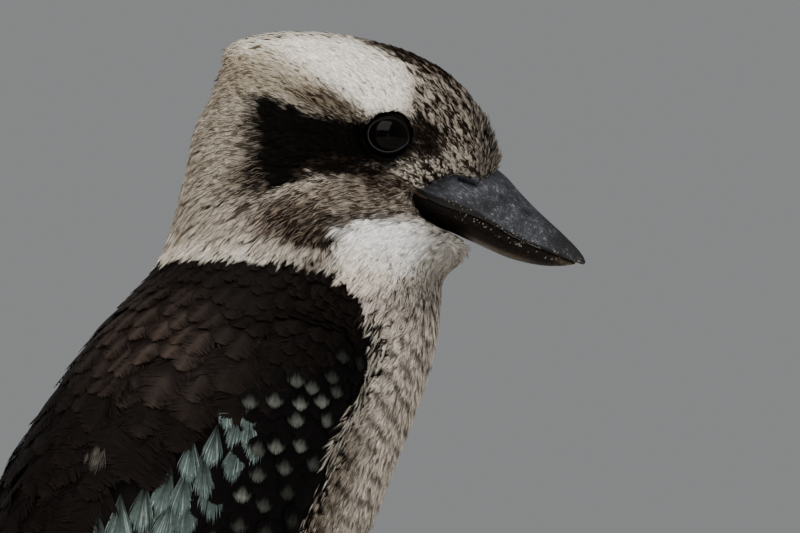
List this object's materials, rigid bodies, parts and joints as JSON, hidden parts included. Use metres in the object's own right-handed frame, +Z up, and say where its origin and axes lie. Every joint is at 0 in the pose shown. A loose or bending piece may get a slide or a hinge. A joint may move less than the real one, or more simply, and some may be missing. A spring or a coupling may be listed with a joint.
{
  "type": "laughing kookaburra model",
  "caption": "Life-size still model of a young laughing kookaburra, head in profile, gripping a short cut branch held by a rod on a round wooden base.",
  "frame": {"origin": "centre of the round base's flat underside", "axes": "+X the way the bill points, +Y the bird's left, +Z up along the bird's height and the rod"},
  "size_m": [0.2046, 0.16, 0.3396],
  "materials": {
    "feather_head": "soft cream feathers with a black-brown mask",
    "feather_pale": "soft buff-grey feathers with fine dark bars",
    "feather_dark": "dark brown feathers with a faint sheen",
    "bill_upper": "satin slate-grey horn",
    "bill_lower": "satin blackish-brown horn",
    "eye": "wet, very dark brown",
    "leg": "scaly grey-brown skin",
    "claw": "dark horn",
    "bark": "grey-brown bark with sawn ends",
    "base_wood": "dark satin-varnished wood",
    "steel": "satin steel"
  },
  "bodies": {
    "root": {"head": "feather_head", "neck": "feather_pale", "trunk": "feather_pale", "tail": "feather_dark", "wing_left": "feather_dark", "wing_right": "feather_dark", "thigh_left": "feather_pale", "thigh_right": "feather_pale", "bill_upper": "bill_upper", "bill_lower": "bill_lower", "eye_left": "eye", "eye_right": "eye", "tarsus_left": "leg", "tarsus_right": "leg", "toe_left_inner": "leg", "toe_left_middle": "leg", "toe_left_outer": "leg", "toe_left_hind": "leg", "toe_right_inner": "leg", "toe_right_middle": "leg", "toe_right_outer": "leg", "toe_right_hind": "leg", "claw_left_inner": "claw", "claw_left_middle": "claw", "claw_left_outer": "claw", "claw_left_hind": "claw", "claw_right_inner": "claw", "claw_right_middle": "claw", "claw_right_outer": "claw", "claw_right_hind": "claw", "perch_branch": "bark", "stand_base": "base_wood", "stand_rod": "steel", "stand_collar": "steel"}
  },
  "joints": []
}
